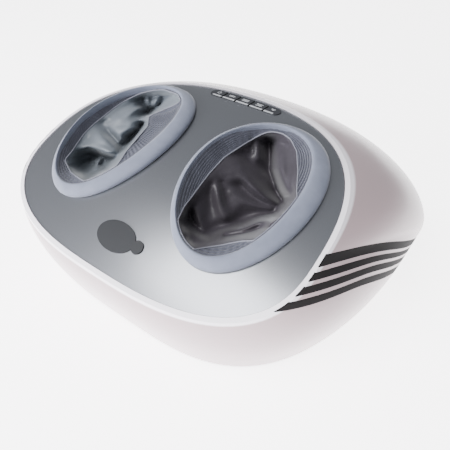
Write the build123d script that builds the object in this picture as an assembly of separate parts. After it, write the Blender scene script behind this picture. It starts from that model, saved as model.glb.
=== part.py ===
from build123d import *
import math
import os

# Shell sizes in millimetres. +X is the user's right, +Y points from heel to toe, +Z up.
wall = 3.0
base_level = 4.0
base_half_width = 205.7
base_front = 170.7
base_back = 189.6
base_widest = 156.6
base_front_power_share = 3.44
base_back_power_share = 2.8
front_swell = 8.2
back_swell = 43.0
front_lift = 8.2
back_lift = 18.9
side_lift = -2.7
swell_centre = 3.6
overrun = 20.0

# Curved top panel, tilted towards the user
panel_setback = 98.4
panel_height = 141.6
panel_tilt = 21.6
panel_half_width = 176.7
panel_front = 101.6
panel_back = 163.0
panel_front_power_share = 2.69
panel_back_power_share = 2.34
panel_arch_radius = 394.0
panel_cross_radius = 1424.0
panel_thickness = 2.5
panel_gap = 0.5
lip_width = 4.5
lip_proud = 1.0
ledge_width = 9.0
ledge_thickness = 2.5

# Foot openings, padded rings and linings
ring_offset = 85.0
ring_middle = 37.4
ring_half_length = 94.0
ring_half_width = 68.0
ring_lean = 4.0
ring_egg_share = 0.06
pad_width = 15.0
pad_height = 9.0
pad_round = 6.0
hole_inset = 7.0
fit_gap = 0.3
collar_width = 4.5
collar_depth = 12.0
collar_flange = 5.0
collar_flange_thickness = 2.2
band_width = 1.6
band_depth = 16.0
liner_cloth = 1.5
neck_depth = 60.0
neck_narrowing = 8.0

# Foot chambers on the sloping sole line
sole_front = 138.0
sole_height = 42.0
sole_tilt = 10.0
foot_offset = 84.0
foot_length = 262.0
foot_half_width = 46.0
foot_power_share = 2.6
foot_room = 58.0
foot_round = 14.0
tub_room = 8.5
tub_wall = 2.0
tub_height = 34.0
leg_size = 9.0
leg_inset = 22.0
leg_spread = 30.0
airbag_length = 152.0
airbag_start = 66.0
heater_length = 46.0
heater_width = 52.0
heater_thickness = 1.5

# Drive: one motor with a worm on each end of its shaft, two cross shafts with rollers
heel_shaft_at = 72.0
toe_shaft_at = 168.0
shaft_drop = 22.0
shaft_radius = 4.0
shaft_half_length = 143.0
running_gap = 0.05
bush_radius = 6.5
pedestal_thickness = 6.0
pedestal_width = 26.0
inner_pedestal_at = 20.0
outer_pedestal_at = 138.0
cradle_thickness = 3.0
cradle_margin = 18.0
wheel_teeth = 24
wheel_radius = 18.0
wheel_tip = 1.3
wheel_root = 1.7
wheel_width = 8.0
wheel_hub_radius = 8.5
wheel_hub_width = 14.0
worm_radius = 7.0
worm_tip = 1.3
worm_core = 5.2
worm_turns = 4
worm_end = 1.5
thread_root_half = 0.95
thread_crest_half = 0.45
tooth_root_half = 1.15
tooth_tip_half = 0.45
motor_shaft_radius = 2.5
motor_shaft_overhang = 14.0
motor_radius = 17.5
motor_length = 52.0
motor_wall = 1.5
motor_bearing_radius = 5.0
motor_bearing_length = 4.0
rotor_radius = 12.5
rotor_gap = 6.0
saddle_width = 12.0
saddle_drop = 4.0
saddle_lip = 2.5
strap_thickness = 1.6
strap_width = 10.0
strap_shares = [-0.3, 0.3]
roller_half_length = 29.0
roller_core = 11.0
roller_bar_radius = 3.6
roller_bar_orbit = 13.0
roller_bars = 6
window_gap = 3.0

# Control keys along the back of the panel
keys_at = 149.6
keys_length = 95.0
keys_width = 15.0
key_count = 5
key_gap = 2.0
key_proud = 0.9
key_depth = 8.4
key_travel = 1.0
key_rest_gap = 0.3
carrier_wall = 5.0
carrier_depth = 11.6
board_thickness = 1.6
switch_size = 6.0

# Oval plate and receiver window
plate_at = -67.0
plate_half_length = 23.5
plate_half_width = 15.0
plate_recess = 1.0
plate_proud = 1.2
window_radius = 6.6
window_across = 27.5
window_along = 0.5

# Side stripes, as shares of the base half depth and of the panel height
stripe_depth = 0.8
stripe_top_shares = [(-0.58, 1.02), (-0.44, 0.955), (-0.21, 0.848), (0.01, 0.713),
                     (0.28, 0.501), (0.56, 0.268), (0.82, 0.03)]
stripe_low_shares = [(-0.90, 0.79), (-0.74, 0.77), (-0.54, 0.727), (-0.32, 0.65),
                     (-0.10, 0.508), (0.14, 0.31), (0.34, 0.03)]
stripe_edge_shares = [0.0, 0.21, 0.29, 0.44, 0.52, 0.69, 0.79, 1.0]

# Base tray, feet, screws, boards and air supply
tray_thickness = 2.5
tray_rim = 5.0
tray_rim_wall = 2.0
tray_gap = 2.6
tray_sides = 120
foot_pad_radius = 11.0
foot_pad_sink = 1.0
boss_radius = 5.5
boss_height = 50.0
boss_web = 3.0
screw_radius = 1.9
screw_head_radius = 3.6
screw_head_depth = 2.0
screw_length = 16.0
vent_count = 7
vent_length = 46.0
vent_width = 3.0
vent_pitch = 8.0
pump_length = 50.0
pump_width = 38.0
pump_height = 28.0
pump_motor_radius = 14.0
pump_motor_length = 26.0
pump_at = 72.0
valve_size = 20.0
valve_height = 26.0
hose_radius = 2.6
hose_bore = 1.6
valve_inner_at = 54.0
valve_outer_at = 114.0
valves_at = 66.0
manifold_height = 14.0
main_board_length = 96.0
main_board_width = 52.0
main_board_at = 130.0
chip_size = 15.5
chip_shares = [-0.25, 0.05, 0.3]
standoff_radius = 3.5
standoff_height = 6.0
jack_height = 24.0
jack_across = 60.0
jack_radius = 5.6
jack_bore = 3.0
jack_length = 20.0
jack_flange = 2.4

outline_points = 40
even_share = 1.5
slab_reach_share = 1.15
slab_half_share = 1.2

# Levels and places that follow from the sizes above
tray_top = base_level + tray_thickness
cradle_top = tray_top + cradle_thickness
collar_inset = hole_inset + fit_gap
band_inset = collar_inset + collar_width + fit_gap
tub_drop = liner_cloth + fit_gap + heater_thickness
airbag_spread = heater_width / 2 + fit_gap
motor_rise = wheel_radius + worm_radius - shaft_drop
motor_at = (heel_shaft_at + toe_shaft_at) / 2
worm_pitch = 2 * math.pi * wheel_radius / wheel_teeth
sides = {"left": -1, "right": 1}
shafts = {"heel": heel_shaft_at, "toe": toe_shaft_at}


def even_turn(step, count):
    """Sine and cosine of a turn whose steps don't bunch at the corners of a rounded outline."""
    angle = 2 * math.pi * step / count
    sine = math.copysign(abs(math.sin(angle)) ** even_share, math.sin(angle))
    cosine = math.copysign(abs(math.cos(angle)) ** even_share, math.cos(angle))
    size = math.hypot(sine, cosine)
    return sine / size, cosine / size


def rounded_point(turn, half_width, widest, front, back, front_power, back_power):
    """Point of a rounded plan outline; the turn starts at the front."""
    sine, cosine = turn
    power = front_power if cosine > 0 else back_power
    reach = front - widest if cosine > 0 else back - widest
    across = math.copysign(abs(sine) ** (2 / power), sine)
    return half_width * across, widest + reach * abs(cosine) ** (2 / power)


def closed_spline(points):
    """Smooth closed wire with even parameters, so that neighbouring sections match."""
    steps = [i / len(points) for i in range(len(points) + 1)]
    return Wire([Edge.make_spline(points, periodic=True, parameters=steps)])


def closed_face(points):
    """Flat face inside a smooth closed wire."""
    return Face(closed_spline(points))


# Frames: the panel, the key row on it, and the sole line
panel_place = Location((0, -panel_setback, panel_height), (panel_tilt, 0, 0))
keys_angle = math.degrees(math.asin(keys_at / panel_arch_radius))
keys_drop = panel_arch_radius * (1 - math.cos(math.radians(keys_angle)))
keys_place = panel_place * Location((0, keys_at, -keys_drop), (-keys_angle, 0, 0))
sole_place = Location((0, -sole_front, sole_height), (sole_tilt, 0, 0))


def in_panel(across, along, rise):
    """World point from panel coordinates."""
    return (panel_place * Location((across, along, rise))).position


def panel_rise(across, along, lift):
    """Height of the curved panel surface, lifted by lift, over the panel's tangent plane."""
    arch = math.sqrt((panel_arch_radius + lift) ** 2 - along ** 2) - panel_arch_radius
    crown = panel_cross_radius - math.sqrt(panel_cross_radius ** 2 - across ** 2)
    return arch - crown


def panel_slab(low, high):
    """Everything between two levels over the curved panel surface."""
    reach_shares = [-1, -0.6, -0.2, 0.2, 0.6, 1]
    arc_reach = panel_half_width * slab_reach_share
    half = base_half_width * slab_half_share
    wires = []
    for share in reach_shares:
        across = half * share
        corners = []
        for lift in (low, high):
            for along in (-arc_reach, 0, arc_reach):
                corners.append((across, along, panel_rise(across, along, lift)))
        edges = [Edge.make_three_point_arc(corners[0], corners[1], corners[2]),
                 Edge.make_line(corners[2], corners[5]),
                 Edge.make_three_point_arc(corners[5], corners[4], corners[3]),
                 Edge.make_line(corners[3], corners[0])]
        wires.append(Wire(edges))
    return panel_place * Solid.make_loft(wires)


def panel_prism(face, low, high):
    """Straight prism along the panel's middle normal."""
    lowered = face.moved(Location((0, 0, low)))
    return panel_place * Solid.extrude(lowered, Vector(0, 0, high - low))


def panel_outline(inset):
    """Plan outline of the top panel, drawn in by inset."""
    points = []
    for step in range(outline_points):
        across, along = rounded_point(even_turn(step, outline_points), panel_half_width - inset, 0,
                                      inset - panel_front, panel_back - inset,
                                      panel_front_power_share, panel_back_power_share)
        points.append((across, along, 0))
    return closed_face(points)


def wall_point(step, share):
    """Point of the outer wall between the base edge, at 0, and the rim of the panel, at 1."""
    turn = even_turn(step, outline_points)
    low = Vector(*rounded_point(turn, base_half_width, base_widest, -base_front, base_back,
                                base_front_power_share, base_back_power_share), base_level)
    across, along = rounded_point(turn, panel_half_width + lip_width, 0, -panel_front - lip_width,
                                  panel_back + lip_width, panel_front_power_share,
                                  panel_back_power_share)
    rim = in_panel(across, along, panel_rise(across, along, lip_proud))
    outward = Vector(low.X, low.Y - swell_centre, 0).normalized()
    back_share = (1 - turn[1]) / 2
    swell = front_swell + (back_swell - front_swell) * back_share
    lift = front_lift + (back_lift - front_lift) * back_share + side_lift * turn[0] ** 2
    arch = 4 * share * (1 - share)
    return low + (rim - low) * share + (outward * swell + Vector(0, 0, 1) * lift) * arch


def inset_point(step, share, inset):
    """Point of the wall moved in by inset along the wall's own normal."""
    nudge_share = 0.02
    upward = wall_point(step, share + nudge_share) - wall_point(step, share - nudge_share)
    sideways = wall_point(step + nudge_share, share) - wall_point(step - nudge_share, share)
    normal = sideways.cross(upward).normalized()
    return wall_point(step, share) - normal * inset


def body_block(inset):
    """Solid body inside the outer wall, moved in by inset and run on past the panel surface."""
    level_shares = [0, 0.2, 0.4, 0.6, 0.8, 1.0]
    nudge_share = 0.05
    bottom = base_level - wall if inset else base_level
    rows = []
    for share in level_shares:
        rows.append([inset_point(step, share, inset) for step in range(outline_points)])
    rows[0] = [Vector(point.X, point.Y, bottom) for point in rows[0]]
    normal = (panel_place * Location((0, 0, 1))).position - panel_place.position
    cap = []
    for step, point in enumerate(rows[-1]):
        run = wall_point(step, 1) - wall_point(step, 1 - nudge_share)
        short = overrun / 2 - (point - panel_place.position).dot(normal)
        cap.append(point + run * (short / run.dot(normal)))
    rows.append(cap)
    return Solid.make_loft([closed_spline(row) for row in rows])


def base_outline(inset, level):
    """Flat many-sided face inside the cavity's bottom edge, drawn in level by inset."""
    nudge_share = 0.001
    corners = [inset_point(step, 0, wall) for step in range(outline_points)]
    edge = closed_spline([(point.X, point.Y, level) for point in corners])
    points = []
    for side_index in range(tray_sides):
        share = (side_index + 0.5) / tray_sides
        sideways = (edge @ (share + nudge_share)) - (edge @ (share - nudge_share))
        inward = Vector(0, 0, 1).cross(sideways).normalized()
        point = edge @ share
        points.append((point.X + inward.X * inset, point.Y + inward.Y * inset, level))
    return Face(Wire(Polyline(*points, close=True).edges()))


def side_stripe(index):
    """Prism along X through one stripe, seen from the side."""
    def edge_points(share):
        points = []
        for top, low in zip(stripe_top_shares, stripe_low_shares):
            points.append((0, base_back * (top[0] + (low[0] - top[0]) * share),
                           panel_height * (top[1] + (low[1] - top[1]) * share)))
        return points

    upper = edge_points(stripe_edge_shares[2 * index])
    lower = edge_points(stripe_edge_shares[2 * index + 1])
    edges = [Edge.make_spline(upper), Edge.make_line(upper[-1], lower[-1]),
             Edge.make_spline(lower), Edge.make_line(lower[0], upper[0])]
    face = Face(Wire(edges))
    return Solid.extrude(face, Vector(base_half_width + overrun * 2, 0, 0))


def ring_outline(side, inset):
    """Egg outline of a foot opening in panel coordinates, drawn in by inset."""
    points = []
    for step in range(outline_points):
        angle = 2 * math.pi * step / outline_points
        along = -math.cos(angle)
        across = math.sin(angle) * (1 + ring_egg_share * along)
        points.append(((ring_half_width - inset) * across, (ring_half_length - inset) * along, 0))
    place = Location((side * ring_offset, ring_middle, 0), (0, 0, side * ring_lean))
    return closed_face(points).moved(place)


def ring_wall(side, outer_inset, inner_inset, low, high):
    """Upright ring between two outlines and two levels over the curved panel."""
    outer = panel_prism(ring_outline(side, outer_inset), -overrun * 3, overrun * 2)
    inner = panel_prism(ring_outline(side, inner_inset), -overrun * 3, overrun * 2)
    return (outer - inner) & panel_slab(low, high)


def foot_outline(side, grow):
    """Plan outline of a foot on the sole line, heel at zero."""
    points = []
    for step in range(outline_points):
        across, along = rounded_point(even_turn(step, outline_points), foot_half_width + grow,
                                      foot_length / 2, -grow, foot_length + grow,
                                      foot_power_share, foot_power_share)
        points.append((side * foot_offset + across, along, 0))
    return points


def foot_block(side, grow):
    """Rounded chamber for one foot, grown all round by grow."""
    level_shares = [0, 0.12, 0.4, 0.7, 0.92, 1.0]
    inset_shares = [0.8, 0.3, 0, 0, 0.35, 1.0]
    wires = []
    for level, inset in zip(level_shares, inset_shares):
        rise = -grow + (foot_room + 2 * grow) * level
        points = [(x, y, rise) for x, y, _ in foot_outline(side, grow - foot_round * inset)]
        wires.append(closed_spline(points))
    return sole_place * Solid.make_loft(wires)


def neck_block(side, grow):
    """Tapering throat from the padded ring down into the foot chamber, grown by grow."""
    throat_inset = band_inset + band_width + fit_gap + liner_cloth - grow
    spread = neck_narrowing * overrun / neck_depth
    top = ring_outline(side, throat_inset - spread).moved(Location((0, 0, overrun)))
    low = ring_outline(side, throat_inset + neck_narrowing)
    low = low.moved(Location((0, 0, -neck_depth - grow)))
    return panel_place * Solid.make_loft([top.outer_wire(), low.outer_wire()], True)


def foot_prism(side, grow, low, high):
    """Straight block over the foot outline between two levels of the sole line."""
    face = closed_face(foot_outline(side, grow)).moved(Location((0, 0, low)))
    return sole_place * Solid.extrude(face, Vector(0, 0, high - low))


def sole_box(across, along, rise, size_across, size_along, size_rise):
    """Box in sole coordinates, standing on the given rise and centred on the given place."""
    place = Location((across, along, rise + size_rise / 2))
    return sole_place * (place * Box(size_across, size_along, size_rise))


def sole_point(across, along, rise):
    """World point from sole coordinates."""
    return (sole_place * Location((across, along, rise))).position


def rod(centre, direction, radius, length):
    """Cylinder centred on a point, along a direction."""
    return Plane(origin=centre, z_dir=direction).location * Cylinder(radius, length)


def save(name, shape):
    """Write one node, as one solid or as a group of its separate solids."""
    solids = shape.solids()
    node = solids[0] if len(solids) == 1 else Compound(children=list(solids))
    node.label = name
    export_step(node, "parts/" + name + ".step")
    return node


os.makedirs("parts", exist_ok=True)


# Outer body, its wall, and the side stripes let into it
body = body_block(0)
skin = body_block(stripe_depth)
cavity = body_block(wall)
above_panel = panel_slab(lip_proud, overrun * 6)
cover = body - above_panel
stripes = {"left": [], "right": []}
for index in range(len(stripe_edge_shares) // 2):
    band = side_stripe(index)
    for name, side in sides.items():
        half = band if side > 0 else band.mirror(Plane.YZ)
        stripe = (cover & half) - skin
        stripes[name].append(stripe)


def shell_boss(x, y, reach_x, reach_y):
    """Screw boss with a web to the wall; the web starts above the tray's rim."""
    post = Cylinder(boss_radius, boss_height).moved(Location((x, y, tray_top + boss_height / 2)))
    web_low = base_level + tray_rim + fit_gap
    web_high = tray_top + boss_height
    web = Box(abs(reach_x) + boss_web, abs(reach_y) + boss_web, web_high - web_low)
    web = web.moved(Location((x + reach_x / 2, y + reach_y / 2, (web_low + web_high) / 2)))
    return (post + web) & body_block(wall / 2)


boss_shares = [(0.68, -0.62), (0.895, 0.21), (0.58, 0.88)]
boss_places = []
for across_share, along_share in boss_shares:
    for side in sides.values():
        boss_places.append((side * across_share * base_half_width, along_share * base_back))

seat = panel_prism(panel_outline(0), -overrun * 3, overrun * 2)
opening = panel_prism(panel_outline(ledge_width), -overrun * 3, overrun * 2)
shell = cover - (seat & panel_slab(-panel_thickness, overrun * 3)) - opening
deck = panel_slab(-panel_thickness - ledge_thickness, overrun * 6)
shell -= cavity - deck
for name in sides:
    for stripe in stripes[name]:
        shell -= stripe
for x, y in boss_places:
    rear = y > 0.5 * base_back
    reach = overrun * 2
    boss = shell_boss(x, y, 0 if rear else math.copysign(reach, x), reach if rear else 0)
    bore = Cylinder(screw_radius, screw_length)
    bore = bore.moved(Location((x, y, base_level + screw_length / 2)))
    shell += boss - bore
jack_place = Plane(origin=(jack_across, base_back, jack_height), z_dir=(0, 1, 0)).location
shell -= jack_place * Cylinder(jack_radius + fit_gap, jack_length * 2)
carrier_reach = carrier_wall + fit_gap
carrier_room = SlotOverall(keys_length + 2 * carrier_reach, keys_width + 2 * carrier_reach)
carrier_room = keys_place * extrude(carrier_room, -carrier_depth - board_thickness - fit_gap)
shell -= carrier_room - panel_slab(-panel_thickness, overrun * 3)
save("upper_shell", shell)
for name in sides:
    save("side_stripes_" + name, Compound(children=stripes[name]))

# Top panel with its foot holes, key slot and plate recess
window_place = Location((window_across, plate_at + window_along, 0))
plate_face = Ellipse(plate_half_length, plate_half_width).face().moved(Location((0, plate_at, 0)))
window_face = Circle(window_radius).face().moved(window_place)
window_hole = Circle(window_radius + fit_gap / 2).face().moved(window_place)
recess = panel_prism(plate_face, -overrun, overrun) + panel_prism(window_hole, -overrun, overrun)
key_face = SlotOverall(keys_length + 2 * fit_gap, keys_width + 2 * fit_gap)
key_slot = extrude(key_face, overrun, both=True)
panel = panel_slab(-panel_thickness, 0)
panel &= panel_prism(panel_outline(panel_gap), -overrun * 3, overrun)
for side in sides.values():
    panel -= panel_prism(ring_outline(side, hole_inset), -overrun * 3, overrun * 2)
panel -= keys_place * key_slot
panel -= recess & panel_slab(-plate_recess, overrun)
save("top_panel", panel)

plate = panel_prism(plate_face, -overrun, overrun) - panel_prism(window_hole, -overrun, overrun)
save("oval_plate", plate & panel_slab(-plate_recess, plate_proud))
window = panel_prism(window_face, -overrun, overrun)
save("receiver_window", window & panel_slab(-plate_recess, plate_proud + fit_gap))

# Padded rings, their collars, the elastic bands and the cloth linings
for name, side in sides.items():
    pad = ring_wall(side, 0, pad_width, 0, pad_height)
    crown = []
    for edge in pad.edges():
        start = (panel_place.inverse() * Location(edge @ 0)).position
        upper = start.Z > panel_rise(start.X, start.Y, pad_height / 2)
        if upper and edge.length > ring_half_length:
            crown.append(edge)
    pad = pad.fillet(pad_round, crown)
    save("padded_ring_" + name, pad)
    collar = ring_wall(side, collar_inset, collar_inset + collar_width, -collar_depth, 0)
    flange_low = -panel_thickness - collar_flange_thickness
    collar += ring_wall(side, hole_inset - collar_flange, collar_inset + collar_width / 2,
                        flange_low, -panel_thickness)
    save("ring_collar_" + name, collar)
    elastic = ring_wall(side, band_inset, band_inset + band_width, -band_depth, 0)
    save("elastic_band_" + name, elastic)
    lining = neck_block(side, liner_cloth) + foot_block(side, liner_cloth)
    lining -= neck_block(side, 0)
    lining -= foot_block(side, 0)
    lining -= panel_slab(0, overrun * 3)
    save("foot_liner_" + name, lining)

# Rigid foot tubs with windows for the rollers, their air cushions and heating pads
tub_floor = -tub_drop - tub_wall
tub_region = overrun * 10
for name, side in sides.items():
    tub = foot_prism(side, tub_room + tub_wall, tub_floor, tub_height)
    tub -= foot_prism(side, tub_room, -tub_drop, tub_height + overrun)
    for across in (foot_offset - leg_spread, foot_offset + leg_spread):
        for along in (leg_inset, foot_length - leg_inset):
            foot = sole_point(side * across, along, tub_floor)
            leg = Box(leg_size, leg_size, tub_region)
            leg = leg.moved(Location((foot.X, foot.Y, tray_top + tub_region / 2)))
            leg -= sole_box(side * foot_offset, foot_length / 2, tub_floor + tub_wall / 2,
                            tub_region * 2, tub_region * 3, tub_region * 2)
            tub += leg
    roller_reach = roller_bar_orbit + roller_bar_radius + window_gap
    for along in shafts.values():
        tub -= sole_box(side * foot_offset, along, tub_floor - tub_wall,
                        2 * (roller_half_length + window_gap), 2 * roller_reach, tub_wall * 3)
    for across in (valve_inner_at, valve_outer_at):
        hole = Cylinder(hose_radius + fit_gap, tub_region)
        tub -= hole.moved(Location((side * across, valves_at, 0)))
    save("foot_tub_" + name, tub)
    bags = foot_prism(side, tub_room - fit_gap, -tub_drop, tub_height)
    bags -= foot_block(side, liner_cloth + fit_gap)
    bags -= neck_block(side, liner_cloth + fit_gap)
    bags &= sole_box(side * foot_offset, airbag_start + airbag_length / 2, -tub_drop - overrun,
                     tub_region, airbag_length, tub_region)
    bags -= sole_box(side * foot_offset, foot_length / 2, -tub_drop - overrun, 2 * airbag_spread,
                     tub_region * 2, tub_region)
    save("airbags_" + name, bags)
    heater = sole_box(side * foot_offset, motor_at, -tub_drop, heater_width, heater_length,
                      heater_thickness)
    save("heating_pad_" + name, heater)

# Drive cradle: base plate, bearing pedestals and the motor saddle
shaft_centres = {name: sole_point(0, along, -shaft_drop) for name, along in shafts.items()}
cradle_front = shaft_centres["heel"].Y - cradle_margin
cradle_back = shaft_centres["toe"].Y + cradle_margin
cradle_half = outer_pedestal_at + pedestal_thickness
cradle = Box(2 * cradle_half, cradle_back - cradle_front, cradle_thickness)
cradle = cradle.moved(Location((0, (cradle_front + cradle_back) / 2, tray_top + cradle_thickness / 2)))
bushes = []
pedestal_places = [-outer_pedestal_at, -inner_pedestal_at, inner_pedestal_at, outer_pedestal_at]
for centre in shaft_centres.values():
    for across in pedestal_places:
        spot = Vector(across, centre.Y, centre.Z)
        post_height = centre.Z - cradle_top
        post = Box(pedestal_thickness, pedestal_width, post_height)
        cradle += post.moved(Location((across, centre.Y, cradle_top + post_height / 2)))
        cradle += rod(spot, (1, 0, 0), pedestal_width / 2, pedestal_thickness)
        cradle -= rod(spot, (1, 0, 0), bush_radius, pedestal_thickness * 2)
        bush = rod(spot, (1, 0, 0), bush_radius, pedestal_thickness)
        bushes.append(bush - rod(spot, (1, 0, 0), shaft_radius + running_gap, pedestal_thickness * 2))
motor_centre = sole_point(0, motor_at, motor_rise)
motor_axis = sole_point(0, 1, 0) - sole_point(0, 0, 0)
strap_radius = motor_radius + strap_thickness
saddle_half = strap_radius + saddle_lip
straps = []
for share in strap_shares:
    seat_centre = motor_centre + motor_axis * (motor_length * share)
    saddle_top = seat_centre.Z - saddle_drop
    saddle_height = saddle_top - cradle_top
    block = Box(2 * saddle_half, saddle_width, saddle_height)
    block = block.moved(Location((0, seat_centre.Y, cradle_top + saddle_height / 2)))
    cradle += block - rod(motor_centre, motor_axis, motor_radius, motor_length * 2)
    strap = rod(seat_centre, motor_axis, strap_radius, strap_width)
    strap -= rod(seat_centre, motor_axis, motor_radius, saddle_width * 2)
    below = Box(4 * saddle_half, 4 * saddle_half, 4 * saddle_half)
    strap -= below.moved(Location((0, seat_centre.Y, saddle_top - 2 * saddle_half)))
    straps.append(strap)
save("drive_cradle", cradle)
save("shaft_bushes", Compound(children=bushes))
save("motor_straps", Compound(children=straps))

# Motor: case, end bearings, rotor and one long shaft
case = rod(motor_centre, motor_axis, motor_radius, motor_length)
case_room = motor_length - 2 * motor_bearing_length
case -= rod(motor_centre, motor_axis, motor_radius - motor_wall, case_room)
case -= rod(motor_centre, motor_axis, motor_bearing_radius, motor_length * 2)
save("motor_case", case)
bearings = []
for end in (-1, 1):
    place = motor_centre + motor_axis * (end * (motor_length - motor_bearing_length) / 2)
    ring = rod(place, motor_axis, motor_bearing_radius, motor_bearing_length)
    bore = rod(place, motor_axis, motor_shaft_radius + running_gap, motor_bearing_length * 2)
    bearings.append(ring - bore)
save("motor_bearings", Compound(children=bearings))
rotor_length = motor_length - 2 * motor_bearing_length - 2 * rotor_gap
rotor = rod(motor_centre, motor_axis, rotor_radius, rotor_length)
save("motor_rotor", rotor - rod(motor_centre, motor_axis, motor_shaft_radius, motor_length))
motor_shaft_length = toe_shaft_at - heel_shaft_at + 2 * motor_shaft_overhang
save("motor_shaft", rod(motor_centre, motor_axis, motor_shaft_radius, motor_shaft_length))


def worm(along):
    """Worm with a right-hand thread that crosses its wheel's middle plane in a tooth gap."""
    centre = sole_point(0, along, motor_rise)
    down = sole_point(0, 0, -1) - sole_point(0, 0, 0)
    length = worm_turns * worm_pitch
    start = centre - motor_axis * (length / 2)
    place = Plane(origin=start, x_dir=down, z_dir=motor_axis).location
    root = worm_core - worm_tip / 4
    crest = worm_radius + worm_tip
    helix = Edge.make_helix(worm_pitch, length, root)
    section = Polyline((root, 0, -thread_root_half), (crest, 0, -thread_crest_half),
                       (crest, 0, thread_crest_half), (root, 0, thread_root_half), close=True)
    thread = sweep(Face(Wire(section.edges())), path=helix, is_frenet=True)
    core_length = length + 2 * worm_end
    core = Cylinder(worm_core, core_length).moved(Location((0, 0, length / 2)))
    blank = Cylinder(crest * 2, core_length).moved(Location((0, 0, length / 2)))
    bore = Cylinder(motor_shaft_radius, core_length * 2)
    return place * (((core + thread) & blank) - bore)


def worm_wheel(along):
    """Wheel whose top tooth gap faces the worm."""
    tip = wheel_radius + wheel_tip
    root = wheel_radius - wheel_root
    body_part = Cylinder(root, wheel_width) + Cylinder(wheel_hub_radius, wheel_hub_width)
    sunk = root - wheel_tip / 2
    tooth = Polyline((sunk, -tooth_root_half, 0), (root, -tooth_root_half, 0),
                     (tip, -tooth_tip_half, 0), (tip, tooth_tip_half, 0),
                     (root, tooth_root_half, 0), (sunk, tooth_root_half, 0), close=True)
    blank = extrude(Face(Wire(tooth.edges())), wheel_width / 2, both=True)
    for index in range(wheel_teeth):
        body_part += blank.rotate(Axis.Z, (index + 0.5) * 360 / wheel_teeth)
    body_part -= Cylinder(shaft_radius, wheel_hub_width * 2)
    upward = sole_point(0, 0, 1) - sole_point(0, 0, 0)
    centre = sole_point(0, along, -shaft_drop)
    return Plane(origin=centre, x_dir=upward, z_dir=(1, 0, 0)).location * body_part


def roller(side, along):
    """Kneading roller: a core with long rounded bars round it."""
    centre = sole_point(side * foot_offset, along, -shaft_drop)
    shape = Cylinder(roller_core, 2 * roller_half_length)
    for index in range(roller_bars):
        angle = 2 * math.pi * (index + 0.5) / roller_bars
        bar = Cylinder(roller_bar_radius, 2 * roller_half_length)
        place = Location((roller_bar_orbit * math.cos(angle), roller_bar_orbit * math.sin(angle), 0))
        shape += bar.moved(place)
    shape -= Cylinder(shaft_radius, 4 * roller_half_length)
    return Plane(origin=centre, x_dir=(0, 1, 0), z_dir=(1, 0, 0)).location * shape


for name, along in shafts.items():
    save(name + "_worm", worm(along))
    save(name + "_wheel", worm_wheel(along))
    save(name + "_shaft", rod(shaft_centres[name], (1, 0, 0), shaft_radius, 2 * shaft_half_length))
    for side_name, side in sides.items():
        save(name + "_roller_" + side_name, roller(side, along))

# Control keys, the carrier that guides them and their board
key_pitch = keys_length / key_count


def key_outline(index, grow):
    """Outline of one key, cut from a strip with round ends."""
    strip = SlotOverall(keys_length + 2 * grow, keys_width + 2 * grow)
    cut = Rectangle(key_pitch - key_gap + 2 * grow, keys_width * 2)
    outer_end = 0
    if index == 0:
        outer_end = -1
    if index == key_count - 1:
        outer_end = 1
    centre = (index - (key_count - 1) / 2) * key_pitch
    window_part = cut.moved(Location((centre, 0, 0)))
    if outer_end:
        window_part += cut.moved(Location((centre + outer_end * key_gap, 0, 0)))
    return strip & window_part


key_names = ["power", "mode", "air", "heat", "timer"]
above_keys = panel_slab(key_proud, overrun * 3)
above_carrier = panel_slab(-panel_thickness, overrun * 3)
carrier_face = SlotOverall(keys_length + 2 * carrier_wall, keys_width + 2 * carrier_wall)
carrier = keys_place * extrude(carrier_face, -carrier_depth) - above_carrier
board = extrude(carrier_face, -board_thickness).moved(Location((0, 0, -carrier_depth)))
for index, name in enumerate(key_names):
    shape = extrude(key_outline(index, 0), key_depth + overrun / 2)
    shape = keys_place * shape.moved(Location((0, 0, -key_depth))) - above_keys
    save("key_" + name, shape)
    well = extrude(key_outline(index, fit_gap), carrier_depth, both=True)
    carrier -= keys_place * well
    switch_height = carrier_depth - key_depth - key_travel - key_rest_gap
    switch = Box(switch_size, switch_size, switch_height)
    centre = (index - (key_count - 1) / 2) * key_pitch
    board += switch.moved(Location((centre, 0, -carrier_depth + switch_height / 2)))
save("key_carrier", carrier)
save("control_board", keys_place * board)

# Base tray with vents, feet, screws, air supply, main board and power socket
tray = Solid.extrude(base_outline(tray_gap, base_level), Vector(0, 0, tray_rim))
tray -= Solid.extrude(base_outline(tray_gap + tray_rim_wall, tray_top), Vector(0, 0, tray_rim))
wide = 4 * base_half_width
foot_shares = [(0.55, -0.74), (0.76, 0.72)]
pads = []
for across_share, along_share in foot_shares:
    for side in sides.values():
        spot = Location((side * across_share * base_half_width, along_share * base_back,
                         (base_level + foot_pad_sink) / 2))
        pad = Cylinder(foot_pad_radius, base_level + foot_pad_sink).moved(spot)
        pads.append(pad)
        tray -= pad
screws = []
for x, y in boss_places:
    shank = Cylinder(screw_radius, screw_length)
    shank = shank.moved(Location((x, y, base_level + screw_length / 2)))
    head = Cylinder(screw_head_radius, screw_head_depth)
    head = head.moved(Location((x, y, base_level - screw_head_depth / 2)))
    slot = Box(2 * screw_head_radius, screw_radius / 2, screw_head_depth)
    cross = slot + slot.rotate(Axis.Z, 90)
    screws.append(shank + head - cross.moved(Location((x, y, base_level - screw_head_depth))))
    tray -= Cylinder(screw_radius + fit_gap / 2, overrun).moved(Location((x, y, base_level)))
for index in range(vent_count):
    across = (index - (vent_count - 1) / 2) * vent_pitch
    for along in (cradle_front - vent_length / 2 - vent_pitch, main_board_at):
        tray -= Box(vent_width, vent_length, overrun).moved(Location((across, along, base_level)))
save("base_tray", tray)
save("rubber_feet", Compound(children=pads))
save("shell_screws", Compound(children=screws))

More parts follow.
